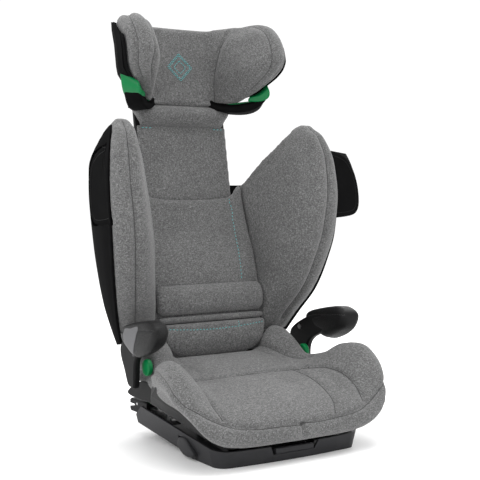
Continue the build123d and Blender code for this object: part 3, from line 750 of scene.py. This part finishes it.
def make_shell(side, label):
    """Smooth outer wall of a backrest wing, with a lined opening for the folding guard."""
    rings = []
    for w in np.concatenate([np.linspace(70, 384, 50), np.linspace(388, 470, 16)]):
        ring = np.vstack([shell_curve(w, 4.8), shell_curve(w, 2.2)[::-1]])
        rings.append(world(side * ring[:, 0], ring[:, 1], w))
    obj = loft(f"back_wall_{label}", rings)
    hole = pocket_outline(0.5)
    cutter = loft(f"cutter_{label}", [world(side * x, *hole.T) for x in (225, 290)])
    opening = obj.modifiers.new("opening", "BOOLEAN")
    opening.operation, opening.object, opening.solver = "DIFFERENCE", cutter, "EXACT"
    apply_modifiers(obj)
    bpy.data.objects.remove(cutter)
    dress(obj, WALL, "back", "black_plastic")
    rim = np.array([wall_x(v, w, 4.2) for v, w in hole])
    rings = [world(side * (rim + (POCKET_FLOOR - rim) * depth), *hole.T) for depth in (0, 0.35, 0.7, 1.0)]
    centre = hole.mean(axis=0)
    for share in (0.96, 0.7, 0.4, 0.05):
        floor_line = centre + (hole - centre) * share
        rings.append(world(side * POCKET_FLOOR, *floor_line.T))
    lining = loft(f"guard_recess_{label}", rings, caps=False)
    dress(lining, WALL, "back", "black_plastic")


def make_wing(side, label):
    heights = np.concatenate([np.linspace(72, 380, 34), np.linspace(388, 466, 14),
                              np.linspace(469, WING_TOP, 11)])
    obj = loft(f"wing_cover_{label}", [wing_ring(w, side) for w in heights])
    seam = np.array([wing_seam(w, side) for w in np.linspace(96, 482, 60)])
    soft_cover(obj, [seam], cap=0.006)
    lines = [world(side * c[:, 0], c[:, 1], w) for w in np.linspace(66, 470, 60)
             for c in (shell_curve(w, -1.0)[:-6],)]
    clamp_inside(obj, lines, world(side * 150, -90, 280))
    points = coords(obj)
    v, w = in_backrest(points)
    beyond = np.maximum.reduce([POCKET_V[0] - v, v - POCKET_V[1], POCKET_W[0] - w, w - POCKET_W[1], 0 * v])
    points[:, 0] = side * np.minimum(side * points[:, 0], (POCKET_FLOOR - 3 + 6 * beyond) * MM)
    set_coords(obj, points)
    stand_for(obj, f"wing_pad_{label}")
    seam_line(f"wing_seam_{label}", obj, seam, "back")


for side, label in SIDES:
    make_wing(side, label)
for side, label in SIDES:
    make_shell(side, label)


HEAD_SLIM = ((551, 14), (566, 12), (592, 8), (606, 6), (622, 8), (650, 13), (680, 16), (692, 22), (702, 22),
             (706, 20), (714, 10))


def head_half(w):
    half, reach = at_height(HEAD, w)
    return min(HEAD_MIDDLE, half - 12), half, reach


def head_ring(w, count=170):
    middle, half, reach = head_half(w)
    skin, roll, back = cup_outline(middle, HEAD_FRONT, HEAD_REAR, half, reach, HEAD_LOBE, HEAD_WALL,
                                   HEAD_ROLL, read_curve(HEAD_SLIM, w))
    right = np.vstack([[(0, HEAD_FRONT + 1), (middle * 0.5, HEAD_FRONT + 0.5)], skin, roll[1:], back,
                       [(middle * 0.5, HEAD_REAR - 2), (0, HEAD_REAR - 2)]])
    left = right[::-1][1:-1] * (-1, 1)
    ring = soften(resample(np.vstack([right, left, right[:1]]), count, closed=True))
    return world(*ring.T, w)


def head_seam(w, side, outer):
    """Line round the wing's padded front: one on its outer side, one on its inner side."""
    middle, half, reach = head_half(w)
    seam = half - SEAM_SHARE * (half - middle)
    x = seam + 0.45 * (half - seam) if outer else seam - 0.2 * (seam - middle)
    return world(side * x, reach + (12 if outer else 14), w)


HEAD_BORDER = ((640, -190), (658, -141), (690, -104), (705, -60), (712, -30), (716, -17))


def head_shell_ring(w, count=150):
    middle, half, reach = head_half(w)
    loops = []
    for offset in (4.8, 2.2):
        right = np.vstack([[(0, HEAD_REAR + offset)],
                           wall_curve(middle, HEAD_REAR, half, reach, HEAD_WALL, offset)])
        if w > HEAD_BORDER[0][0]:
            right = right[right[:, 1] >= read_curve(HEAD_BORDER, w)]
        line = np.vstack([right[::-1] * (-1, 1), right[1:]])
        loops.append(resample(line, count // 2))
    ring = np.vstack([loops[0], loops[1][::-1]])
    return world(*ring.T, w)


def head_wall_line(w):
    middle, half, reach = head_half(w)
    right = wall_curve(middle, HEAD_REAR, half, reach, HEAD_WALL, -1.0)
    if w > HEAD_BORDER[0][0]:
        keep = right[:, 1] >= read_curve(HEAD_BORDER, w)
        right = right[keep] if keep.sum() > 4 else right[:4]
    right = resample(right[:-3], 50)
    return np.vstack([right[::-1] * (-1, 1), right])


HEAD_INNER_SEAM = ((88, -92, 704), (82, -70, 668), (78, -50, 625), (76, -44, 590), (76, -42, 556))


def make_headrest():
    heights = np.concatenate([np.linspace(548, 690, 26), np.linspace(693, 713, 9)])
    obj = loft("headrest_cushion", [head_ring(w) for w in heights])
    edge = {s: np.array([head_seam(w, s, True) for w in np.linspace(572, 706, 44)]) for s in (-1, 1)}
    second = {s: np.array([head_seam(w, s, False) for w in np.linspace(566, 708, 44)]) for s in (-1, 1)}
    inner = {s: np.array([world(s * x, v, w) for x, v, w in HEAD_INNER_SEAM]) for s in (-1, 1)}
    soft_cover(obj, list(edge.values()) + list(second.values()) + list(inner.values()), cap=0.005)
    lines = [world(c[:, 0], c[:, 1], w) for w in np.linspace(552, 700, 40)
             for c in (head_wall_line(w),)]
    clamp_inside(obj, lines, world(0, -90, 620))
    stand_for(obj, "headrest_middle", "headrest_wing_left", "headrest_wing_right")
    for s, label in SIDES:
        seam_line(f"headrest_edge_seam_{label}", obj, edge[s], "headrest")
        seam_line(f"headrest_side_seam_{label}", obj, second[s], "headrest")
        seam_line(f"headrest_inner_seam_{label}", obj, inner[s], "headrest")
    return obj


headrest = make_headrest()
dress(loft("headrest_wall", [head_shell_ring(w) for w in np.linspace(560, 714, 44)]), WALL, "headrest",
      "black_plastic")


# seat cushion: half sections (x, z) from the middle out, round the edge and back underneath
SEAT_SECTIONS = (
    (-236, ((0, 70), (50, 70), (90, 69), (120, 68), (138, 67), (148, 66), (154, 63), (156, 58), (150, 52),
            (132, 48), (100, 46), (0, 45))),
    (-224, ((0, 83), (60, 83), (100, 83), (135, 84), (160, 86), (180, 88), (194, 88), (200, 80), (190, 64),
            (160, 46), (110, 37), (0, 35))),
    (-200, ((0, 98), (60, 98), (105, 98), (140, 101), (168, 110), (192, 124), (212, 132), (222, 118),
            (214, 98), (184, 70), (130, 41), (0, 36))),
    (-172, ((0, 108), (60, 108), (104, 109), (138, 114), (165, 130), (190, 153), (212, 165), (230, 148),
            (229, 122), (206, 100), (150, 60), (0, 48))),
    (-136, ((0, 118), (60, 118), (100, 119), (132, 124), (158, 142), (182, 168), (205, 184), (226, 172),
            (230, 146), (212, 120), (160, 70), (0, 56))),
    (-100, ((0, 127), (60, 127), (98, 128), (126, 131), (150, 145), (174, 168), (196, 180), (218, 170),
            (224, 150), (212, 130), (170, 84), (0, 61))),
    (-62, ((0, 134), (60, 134), (98, 134), (124, 136), (146, 143), (168, 154), (190, 158), (208, 152),
           (214, 146), (206, 138), (176, 96), (0, 66))),
    (-20, ((0, 141), (60, 141), (98, 141), (122, 142), (142, 147), (158, 150), (172, 148), (182, 143),
           (186, 138), (181, 130), (171, 104), (0, 72))),
    (10, ((0, 146), (60, 146), (94, 146), (112, 150), (124, 163), (138, 177), (154, 180), (167, 168),
          (172, 150), (171, 134), (167, 108), (0, 76))),
    (34, ((0, 149), (60, 149), (93, 149), (106, 158), (118, 180), (134, 196), (151, 196), (165, 178),
          (171, 154), (170, 134), (165, 110), (0, 79))),
    (56, ((0, 151), (60, 151), (91, 152), (103, 164), (115, 186), (131, 201), (149, 199), (162, 179),
          (169, 153), (168, 134), (163, 112), (0, 82))),
    (71, ((0, 146), (60, 146), (92, 148), (105, 158), (119, 175), (135, 185), (149, 180), (159, 163),
          (163, 148), (161, 134), (157, 114), (0, 84))),
)


def seat_half(y):
    """Half section of the seat at y, from the middle of its top."""
    places, sections = zip(*SEAT_SECTIONS)
    return np.array([[curve_through(places, [section[k][axis] for section in sections], y) for axis in (0, 1)]
                     for k in range(len(sections[0]))])


def seat_section(y, count=130):
    right = spline(seat_half(y), 90)
    right[:, 0] = np.maximum(right[:, 0], 0)
    outline = np.vstack([right, right[::-1][1:-1] * (-1, 1), right[:1]])
    ring = resample(outline, count, closed=True)
    return np.stack([ring[:, 0], np.full(count, y), ring[:, 1]], -1) * MM


def seat_top(x, y):
    """Height of the seat's upper skin at (x, y)."""
    xs, zs = seat_half(y)[:8].T
    return float(np.interp(abs(x), xs, zs))


def on_seat(points):
    return spline([(x, y, seat_top(x, y)) for x, y in points], 60) * MM


SEAT_SIDE_SEAM = ((128, -78), (143, -110), (152, -150), (156, -185), (153, -218))
SEAT_HIP_SEAM = ((104, 64), (108, 34), (120, 4), (140, -24), (160, -48))
SEAT_PIPING = ((0, -236, 70), (70, -235, 71), (130, -230, 78), (172, -218, 90), (204, -203, 107),
               (224, -184, 128), (231, -160, 148), (229, -130, 160), (221, -95, 162), (211, -60, 155),
               (193, -22, 141), (176, 6, 142))
SEAT_SKIRT = ((-44, 104), (-16, 120), (22, 122), (52, 114), (78, 102), (93, 92), (90, 86), (60, 83),
              (0, 84), (-36, 92))


def make_seat():
    obj = loft("seat_cover", [seat_section(y) for y in np.linspace(-236, 71, 52)])
    seams = {}
    seams["seat_panel_seam"] = on_seat([(98, -69), (104, -100), (104, -150), (94, -200), (80, -228)])
    for s, label in SIDES:
        seams[f"seat_side_seam_{label}"] = on_seat([(s * x, y) for x, y in SEAT_SIDE_SEAM])
        seams[f"seat_piping_{label}"] = spline([(s * x, y, z) for x, y, z in SEAT_PIPING], 120) * MM
    seams["seat_rear_seam"] = on_seat([(-128, -76), (-98, -69), (-50, -67), (0, -66), (50, -67), (98, -69),
                                       (128, -76)])
    seams["seat_front_seam"] = spline([(4, -236, 68), (4, -239, 60), (4, -237, 50)], 20) * MM
    for s, label in SIDES:
        seams[f"seat_hip_seam_{label}"] = on_seat([(s * x, y) for x, y in SEAT_HIP_SEAM])
    soft_cover(obj, list(seams.values()), size=0.0055, cap=0.006)
    stand_for(obj, "seat_cushion")
    for name, path in seams.items():
        seam_line(name, obj, path, "seat")


make_seat()
for side, label in SIDES:
    skirt = plate(f"seat_skirt_{label}", SEAT_SKIRT, beside(side), 150.0, 178.0, 3.0)
    dress(skirt, BLACK, "seat", "black_plastic")


# backrest middle: panel with a scooped neckline, lumbar roll and lower flap ------------------
def slab(name, outline_x, front, rear, w_low, w_high, columns=40, rows=40):
    """Closed pad between a front skin and a rear skin over |x| <= outline_x(w)."""
    across = np.linspace(-1, 1, columns)
    rings = []
    for t in np.linspace(0, 1, rows):
        ring = []
        for skin, order in ((front, across), (rear, across[::-1])):
            for u in order:
                w = w_low(u) + (w_high(u) - w_low(u)) * t
                ring.append((u * outline_x(w), skin(u, w), w))
        rings.append(world(*np.array(ring).T))
    size = 2 * columns
    faces = [(r * size + k, r * size + (k + 1) % size, (r + 1) * size + (k + 1) % size, (r + 1) * size + k)
             for r in range(rows - 1) for k in range(size)]
    for base in (0, (rows - 1) * size):
        faces += [(base + k, base + k + 1, base + size - 2 - k, base + size - 1 - k)
                  for k in range(columns - 1)]
    return new_object(name, np.concatenate(rings), faces)


def panel_top(u):
    """Neckline: nearly straight behind the stem, with an ear at each side."""
    return read_curve(((0, 351), (75, 354), (92, 359), (107, 367), (125, 386)), abs(u) * 125)


def panel_front(u, w):
    depth = read_curve(((30, -52), (104, -68), (176, -72), (356, -41), (390, -40)), w)
    return depth - 3 * (1 - u * u)


def panel_rear(u, w):
    return -32 + (12 if abs(u) * 125 > 109 and w > 300 else 0)


def make_panel():
    obj = slab("back_panel", lambda w: 125.0, panel_front, panel_rear, lambda u: 36.0, panel_top, 60, 48)
    line = np.array([world(x, read_curve(((176, -74), (356, -45)), w), w)
                     for x, w in ((93, 354), (91, 300), (88, 240), (84, 180))])
    soft_cover(obj, [line], cap=0.004)
    stand_for(obj, "back_pad")
    press_seam(obj, line, 0.0015, 0.004)
    dress(stitches("back_panel_stitch", obj, line), TEAL, "back", "grey_fabric")


make_panel()


def roll_ring(points, x, shrink=1.0):
    middle = np.mean(points, axis=0)
    ring = middle + (spline(points, 40, closed=True) - middle) * shrink
    return world(x, *ring.T)


def make_roll(name, side_points, half, cap):
    """Pad of constant side outline with rounded ends."""
    outer = (0.7, 0.88, 0.95, 0.985, 1)
    places = np.array([-k for k in outer[::-1]] + [-0.4, 0, 0.4] + list(outer)) * half
    ends = [0.94 * k for k in (0.62, 0.86, 0.97)]
    obj = loft(name, [roll_ring(side_points, x, k) for x, k in zip(places, ends + [1] * 7 + ends[::-1])])
    soft_cover(obj, cap=cap)
    return obj


LUMBAR_SIDE = ((-72, 175), (-84, 172), (-90, 158), (-91, 142), (-87, 123), (-72, 116), (-69, 145))
FOLD_SIDE = ((-72, 114), (-82, 115), (-87, 110), (-87, 104), (-81, 99), (-69, 100))
stand_for(make_roll("lumbar_roll", LUMBAR_SIDE, 124, 0.004), "lumbar_pad")
dress(make_roll("lumbar_fold", FOLD_SIDE, 122, 0.0015), FABRIC, "back", "grey_fabric")


def make_neck():
    """Roll under the headrest: narrow below, with an ear at each upper end."""
    def half(w):
        return read_curve(((504, 99), (516, 100), (526, 106), (536, 113), (548, 112)), w)

    def front(u, w):
        dome = read_curve(((504, -31), (509, -40), (516, -47), (528, -51), (541, -46), (548, -34)), w)
        return dome + 9 * max(0.0, abs(u) - 0.86) / 0.14

    obj = slab("neck_roll_cover", half, front, lambda u, w: -24.0, lambda u: 504.0, lambda u: 551.0)
    soft_cover(obj, size=0.004, shrink=0.002, cap=0.003)
    stand_for(obj, "neck_roll")


make_neck()


def flap_front(u, w):
    return read_curve(((30, -70), (44, -82), (66, -89), (94, -88), (100, -82)), w) - 2 * (1 - u * u)


def make_flap():
    def half(w):
        return read_curve(((30, 66), (36, 84), (46, 101), (62, 113), (82, 120), (100, 123)), w)

    def rear(u, w):
        return np.interp(w, (30, 100), (-56.5, -69.5))

    obj = slab("lower_flap_cover", half, flap_front, rear, lambda u: 31.0, lambda u: 99.0)
    soft_cover(obj, cap=0.003)
    stand_for(obj, "lower_flap")
    across = np.array([world(x, -92, 84 + 8 * (x / 118) ** 2) for x in np.linspace(-118, 118, 50)])
    down = np.array([world(57, -92, w) for w in np.linspace(98, 86, 12)])
    for name, line in (("lower_flap_stitch", across), ("lower_flap_tick", down)):
        press_seam(obj, line, 0.0012, 0.004)
        dress(stitches(name, obj, line), TEAL, "back", "grey_fabric")


make_flap()
foot = slab("back_foot", lambda w: 153.0, lambda u, w: -50.0 + 4 * u * u, lambda u, w: -17.0,
            lambda u: 20.0 + 14 * u ** 4, lambda u: 112.0)
dress(foot, BLACK, "back", "black_plastic")


def make_stem_cover():
    obj = slab("stem_panel", lambda w: 104.5, lambda u, w: -30.0 - 1.5 * (1 - u * u), lambda u, w: -23.8,
               lambda u: 226.0, lambda u: 508.0, 30, 50)
    soft_cover(obj, size=0.004, shrink=0.0015, cap=0.0025)
    stand_for(obj, "stem_cover")
    for s, label in SIDES:
        path = np.array([world(s * x, -34, 501.5) for x in (74, 98)])
        dress(stitches(f"stem_stitch_{label}", obj, path, radius=0.0007), TEAL, "headrest", "grey_fabric")


make_stem_cover()


# smooth moulded parts that stand for the CAD's facetted ones ------------------------------------
def ramp_up(value, low, high):
    t = np.clip((value - low) / (high - low), 0, 1)
    return t * t * (3 - 2 * t)


def guide_put(side):
    """Places a belt guide's (run, height) outline; the free end is slanted and tilted outwards."""
    def put(points, q):
        p, w = points[:, 0], points[:, 1]
        tip = ramp_up(p, 55, 125)
        p = p - (q + 24) / 38 * 14 * tip
        w = w + (0.78 * (q + 24) - 11) * tip * ramp_up(w, 532, 572)
        return world(side * (80 + 0.66 * p + 0.751 * q), -22 - 0.751 * p + 0.66 * q, w)
    return put


GUIDE_BODY = ((-8, 562), (-8, 551), (10, 541), (32, 533), (62, 527), (90, 527), (110, 532), (122, 541),
              (128, 550), (120, 552), (106, 548), (88, 545), (60, 545), (34, 549), (14, 557), (4, 564))
GUIDE_LIP = ((88, 549), (100, 545), (114, 544), (126, 547), (133, 554), (136, 566), (134, 576), (128, 576),
             (118, 568), (104, 562), (92, 559))
GUIDE_LINER = ((22, 553), (40, 547.5), (64, 544.5), (92, 545.5), (96, 548.5), (66, 548.5), (42, 551),
               (26, 557))


def make_guides(side, label):
    hook = plate(f"guide_hook_{label}", GUIDE_BODY, guide_put(side), -23.0, 13.0, 5.0)
    stand_for(hook, f"belt_guide_{label}", material=WALL)
    lip = plate(f"guide_lip_{label}", GUIDE_LIP, guide_put(side), -24.5, 14.5, 3.0)
    stand_for(lip, f"guide_liner_{label}")
    bed = plate(f"guide_bed_{label}", GUIDE_LINER, guide_put(side), -19.0, 9.0, 1.2)
    dress(bed, GREEN, BODY_OF[f"guide_liner_{label}"], "green_plastic")


HORN_SIDE = ((16, 112), (30, 111), (42, 116), (56, 142), (70, 166), (70, 186), (48, 203), (13, 219),
             (-20, 227), (-48, 226), (-52, 206), (-30, 190), (-4, 177), (10, 161), (13, 138))


def rest_put(side):
    """Places the armrest's side outline; it is widest in the middle and narrows towards both ends."""
    def put(points, level):
        y, z = points[:, 0], points[:, 1]
        y = y + 6 * (1 - level) * ramp_up(-y, 40, 117)
        z = z + 4 * (1 - level) * ramp_up(-z, -216, -184)
        waist = 20.5 - 3.0 * np.abs((y + 45) / 75) ** 2.5 - 2.0 * ramp_up(-z, -205, -178)
        return np.stack([side * (211 + level * waist), y, z], -1) * MM
    return put


REST_SIDE = ((-117, 236), (-106, 244), (-84, 248.5), (-50, 245), (-15, 238), (12, 231), (25, 223),
             (24, 208), (10, 195), (-8, 185), (-26, 178), (-42, 176), (-62, 181), (-84, 190), (-104, 204),
             (-116, 221))
REST_SEAM = ((14, 220), (-10, 225), (-50, 229), (-84, 233), (-112, 238))
REST_INSET = ((0, 226), (-26, 230), (-54, 236), (-51, 218), (-42, 200), (-28, 179), (-14, 190), (2, 208))


def make_armrest(side, label):
    horn = plate(f"armrest_arm_{label}", HORN_SIDE, beside(side), 190.5, 204.0, 4.0)
    stand_for(horn, f"armrest_horn_{label}")
    pad = plate(f"armrest_pad_{label}", REST_SIDE, rest_put(side), -1.0, 1.0, 15.0, 0.62, 0.06, 96)
    subdivide(pad)
    stand_for(pad, f"armrest_cover_{label}")
    for name, x in (("inner", 189.0), ("outer", 233.0)):
        line = np.array([(side * x, y, z) for y, z in REST_SEAM]) * MM
        press_seam(pad, line, 0.0010, 0.0025)
        dress(stitches(f"armrest_{name}_stitch_{label}", pad, line, 0.003, 0.002, 0.0004), SEAM,
              BODY_OF[f"armrest_cover_{label}"], "grey_fabric")
    inlay = plate(f"armrest_inlay_{label}", REST_INSET, beside(side), 0.0, 2.4, 1.6, 0.8)
    tree, points = surface_tree(pad), coords(inlay)
    for i, p in enumerate(points):
        hit = tree.ray_cast(Vector((side * 0.26, p[1], p[2])), Vector((-side, 0, 0)))[0]
        points[i, 0] = (hit[0] if hit else side * 0.226) + p[0] - side * 0.0015
    set_coords(inlay, points)
    stand_for(inlay, f"armrest_inset_{label}")


def make_lap_guide(side, label):
    turns = np.linspace(0, 2 * pi, 14, endpoint=False)
    disc = [(7 + 15 * cos(a), 149.5 + 15.5 * sin(a)) for a in turns]
    hook = plate(f"lap_hook_{label}", disc, beside(side), 174.5, 184.5, 3.0, crown=0.8)
    stand_for(hook, f"lap_guide_{label}")


LEVER_SIDE = ((-75, 27), (-80, 34.5), (-92, 37), (-104, 36), (-114, 29), (-126, 20), (-133, 13),
              (-130, 7), (-118, 4.5), (-100, 5), (-84, 11), (-76, 18))


def make_lever(side, label):
    lever = plate(f"lever_paddle_{label}", LEVER_SIDE, beside(side), 149.5, 164.0, 4.5, crown=0.8)
    stand_for(lever, f"release_lever_{label}")


for side, label in SIDES:
    make_guides(side, label)
    make_armrest(side, label)
    make_lap_guide(side, label)
    make_lever(side, label)


def make_motif():
    """Plain stitched diamond on the headrest's middle."""
    for name, reach in (("outer", 29), ("middle", 25), ("inner", 14)):
        corners = [(0, reach), (reach, 0), (0, -reach), (-reach, 0), (0, reach)]
        path = np.array([world(x, HEAD_FRONT - 6, 628 + w) for x, w in resample(corners, 80)])
        outline = stitches(f"motif_{name}", headrest, path, 0.0035, 0.0016, 0.0006)
        dress(outline, TEAL, "headrest", "grey_fabric")


make_motif()


# camera, floor and light --------------------------------------------------------------------
CAMERA_AT = (-1.0868, -1.7150, 0.4895)
CAMERA_TO = (0.0207, 0.0, 0.3811)
FIELD_OF_VIEW = radians(25.68)

camera_data = bpy.data.cameras.new("camera")
camera_data.sensor_width = 36
camera_data.angle = FIELD_OF_VIEW
camera_data.clip_end = 50
camera = bpy.data.objects.new("camera", camera_data)
camera.location = CAMERA_AT
camera.rotation_euler = (Vector(CAMERA_TO) - Vector(CAMERA_AT)).to_track_quat("-Z", "Y").to_euler()
bpy.context.scene.collection.objects.link(camera)
bpy.context.scene.camera = camera

FLOOR = [(-60, -60, 0), (60, -60, 0), (60, 60, 0), (-60, 60, 0)]
floor = new_object("floor", FLOOR, [(0, 1, 2, 3)], smooth=False)
pale = Shader("pale_floor").finish((0.97, 0.97, 0.97, 1), 0.8, specular_ior_level=0.05)
floor.data.materials.append(pale)


def softbox(name, place, size, power, target=(0, 0, 0.4)):
    light = bpy.data.lights.new(name, "AREA")
    light.shape = "RECTANGLE"
    light.size, light.size_y = size
    light.energy = power
    obj = bpy.data.objects.new(name, light)
    obj.location = place
    obj.rotation_euler = (Vector(target) - Vector(place)).to_track_quat("-Z", "Y").to_euler()
    bpy.context.scene.collection.objects.link(obj)


softbox("key", (-2.8, -0.5, 1.6), (1.6, 1.6), 26)
softbox("fill", (2.4, -1.4, 1.8), (2.0, 2.0), 14)
softbox("top", (0.1, 0.2, 3.0), (2.4, 2.4), 62)
softbox("rim", (2.2, 1.4, 1.5), (1.6, 1.6), 24)

studio = bpy.data.worlds.new("studio")
studio.use_nodes = True
studio.node_tree.nodes["Background"].inputs[0].default_value = (1, 1, 1, 1)
studio.node_tree.nodes["Background"].inputs[1].default_value = 1.06
bpy.context.scene.world = studio
bpy.context.scene.view_settings.view_transform = "Standard"
